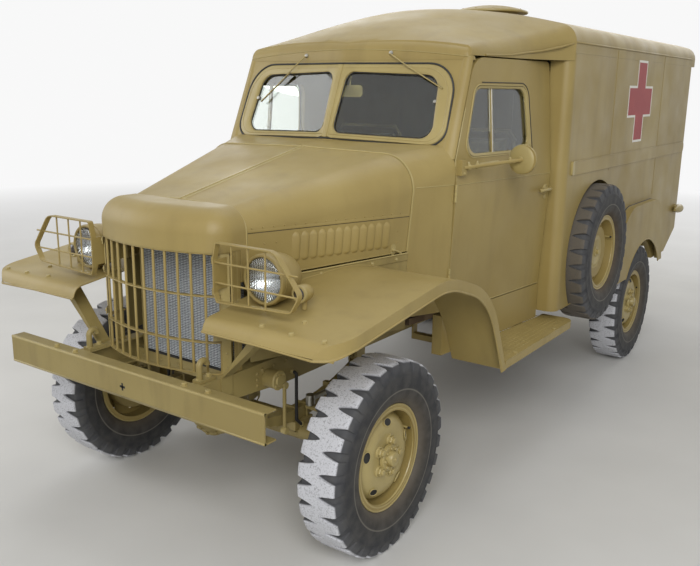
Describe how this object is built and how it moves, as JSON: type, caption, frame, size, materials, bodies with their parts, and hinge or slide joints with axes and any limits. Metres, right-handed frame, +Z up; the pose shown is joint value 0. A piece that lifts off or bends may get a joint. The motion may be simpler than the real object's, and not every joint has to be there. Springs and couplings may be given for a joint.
{
  "type": "four-wheel-drive military ambulance truck",
  "caption": "Four-wheel-drive ambulance truck with a tapered hood, bar grille, panel body, side spare wheel and opening doors.",
  "frame": {"origin": "on the ground, at the middle of the overall length and width", "axes": "-Y is the front of the vehicle, +X its left side, +Z up"},
  "size_m": [1.924, 4.953, 2.375],
  "materials": {
    "olive_paint": "brushed-on khaki olive paint, dusty satin",
    "chassis_paint": "khaki olive chassis paint, dull and dirty",
    "bare_steel": "bare steel rod, satin",
    "exhaust_iron": "rusty sheet iron, matt",
    "radiator_core": "blue grey finned core, matt",
    "tyre_rubber": "black rubber with grey dust on the lugs",
    "clear_glass": "clear flat glass",
    "seat_cloth": "olive canvas",
    "tail_lamp": "painted shell with a red lens",
    "steering_wheel_rubber": "hard black rubber, satin"
  },
  "bodies": {
    "vehicle": {"frame_rails": "chassis_paint", "front_bumper": "olive_paint", "tow_hooks": "olive_paint", "front_axle": "chassis_paint", "rear_axle": "chassis_paint", "suspension": "chassis_paint", "steering_gear": "chassis_paint", "powertrain": "chassis_paint", "exhaust": "exhaust_iron", "fuel_tank": "chassis_paint", "radiator": "radiator_core", "nose": "olive_paint", "grille": "olive_paint", "headlamps": "olive_paint", "headlamp_lenses": "clear_glass", "front_fenders": "olive_paint", "running_boards": "olive_paint", "cowl": "olive_paint", "windshield_glass": "clear_glass", "floor": "olive_paint", "cab_sills": "olive_paint", "body_side_left": "olive_paint", "body_side_right": "olive_paint", "roof": "olive_paint", "seats": "seat_cloth", "tail_lamps": "tail_lamp", "cross_members": "chassis_paint", "lamp_guards": "olive_paint", "fender_aprons": "olive_paint", "wheel_houses": "olive_paint", "spare_pan": "olive_paint", "spare_tyre": "tyre_rubber", "spare_wheel": "olive_paint", "rear_fenders": "olive_paint"},
    "wheel_front_left": {"tyre_front_left": "tyre_rubber", "wheel_front_left": "olive_paint"},
    "wheel_rear_left": {"tyre_rear_left": "tyre_rubber", "wheel_rear_left": "olive_paint"},
    "knuckle_left": {"knuckle_left": "chassis_paint"},
    "cab_door_left": {"cab_door_left": "olive_paint", "door_glass_left": "clear_glass"},
    "rear_door_left": {"rear_door_left": "olive_paint", "rear_glass_left": "clear_glass"},
    "hood_left": {"hood_left": "olive_paint"},
    "wheel_front_right": {"tyre_front_right": "tyre_rubber", "wheel_front_right": "olive_paint"},
    "wheel_rear_right": {"tyre_rear_right": "tyre_rubber", "wheel_rear_right": "olive_paint"},
    "knuckle_right": {"knuckle_right": "chassis_paint"},
    "cab_door_right": {"cab_door_right": "olive_paint", "door_glass_right": "clear_glass"},
    "rear_door_right": {"rear_door_right": "olive_paint", "rear_glass_right": "clear_glass"},
    "hood_right": {"hood_right": "olive_paint"},
    "tie_rod": {"tie_rod": "chassis_paint"},
    "drag_link": {"drag_link": "bare_steel"},
    "pitman_arm": {"pitman_arm": "chassis_paint"},
    "steering_wheel": {"steering_wheel": "steering_wheel_rubber"},
    "rear_step": {"rear_step": "chassis_paint"}
  },
  "joints": [
    {"name": "steer_left", "type": "hinge", "parent": "vehicle", "child": "knuckle_left", "pos_m": [0.655, -1.8325, 0.404], "axis": [0, 0, 1], "range_deg": [-28, 28]},
    {"name": "steer_right", "type": "hinge", "parent": "vehicle", "child": "knuckle_right", "pos_m": [-0.655, -1.8325, 0.404], "axis": [0, 0, 1], "range_deg": [-28, 28]},
    {"name": "roll_front_left", "type": "hinge", "parent": "knuckle_left", "child": "wheel_front_left", "pos_m": [0.754, -1.8325, 0.404], "axis": [1, 0, 0], "continuous": true},
    {"name": "roll_rear_left", "type": "hinge", "parent": "vehicle", "child": "wheel_rear_left", "pos_m": [0.7825, 1.2915, 0.404], "axis": [1, 0, 0], "continuous": true},
    {"name": "roll_front_right", "type": "hinge", "parent": "knuckle_right", "child": "wheel_front_right", "pos_m": [-0.754, -1.8325, 0.404], "axis": [1, 0, 0], "continuous": true},
    {"name": "roll_rear_right", "type": "hinge", "parent": "vehicle", "child": "wheel_rear_right", "pos_m": [-0.7825, 1.2915, 0.404], "axis": [1, 0, 0], "continuous": true},
    {"name": "tie_rod_swing", "type": "hinge", "parent": "knuckle_left", "child": "tie_rod", "pos_m": [0.6, -1.6125, 0.33], "axis": [0, 0, 1], "range_deg": [-28, 28]},
    {"name": "drag_link_swing", "type": "hinge", "parent": "knuckle_left", "child": "drag_link", "pos_m": [0.42, -1.8325, 0.56], "axis": [0, 0, 1], "range_deg": [-28, 28]},
    {"name": "pitman_swing", "type": "hinge", "parent": "vehicle", "child": "pitman_arm", "pos_m": [0.387, -1.4325, 0.795], "axis": [1, 0, 0], "range_deg": [-28, 28]},
    {"name": "steering_wheel_turn", "type": "hinge", "parent": "vehicle", "child": "steering_wheel", "pos_m": [0.355, -0.8575, 1.405], "axis": [0.0251, 0.7162, 0.6974], "range_deg": [-504, 504]},
    {"name": "cab_door_left_swing", "type": "hinge", "parent": "vehicle", "child": "cab_door_left", "pos_m": [0.7, -1.1325, 1.4], "axis": [0, 0, -1], "range_deg": [0, 70]},
    {"name": "cab_door_right_swing", "type": "hinge", "parent": "vehicle", "child": "cab_door_right", "pos_m": [-0.7, -1.1325, 1.4], "axis": [0, 0, 1], "range_deg": [0, 70]},
    {"name": "rear_door_left_swing", "type": "hinge", "parent": "vehicle", "child": "rear_door_left", "pos_m": [0.6, 2.3685, 1.43], "axis": [0, 0, -1], "range_deg": [0, 100]},
    {"name": "rear_door_right_swing", "type": "hinge", "parent": "vehicle", "child": "rear_door_right", "pos_m": [-0.6, 2.3685, 1.43], "axis": [0, 0, 1], "range_deg": [0, 100]},
    {"name": "hood_left_lift", "type": "hinge", "parent": "vehicle", "child": "hood_left", "pos_m": [0, -2.1425, 1.41], "axis": [0, -0.9771, -0.213], "range_deg": [0, 55]},
    {"name": "hood_right_lift", "type": "hinge", "parent": "vehicle", "child": "hood_right", "pos_m": [0, -2.1425, 1.41], "axis": [0, 0.9771, 0.213], "range_deg": [0, 55]},
    {"name": "rear_step_fold", "type": "hinge", "parent": "vehicle", "child": "rear_step", "pos_m": [0, 2.4025, 0.47], "axis": [-1, 0, 0], "range_deg": [0, 90]}
  ],
  "couplings": [
    {"joint": "steer_right", "follows": "steer_left", "ratio": 1},
    {"joint": "tie_rod_swing", "follows": "steer_left", "ratio": -1},
    {"joint": "drag_link_swing", "follows": "steer_left", "ratio": -1},
    {"joint": "pitman_swing", "follows": "steer_left", "ratio": -1},
    {"joint": "steering_wheel_turn", "follows": "steer_left", "ratio": 18}
  ]
}
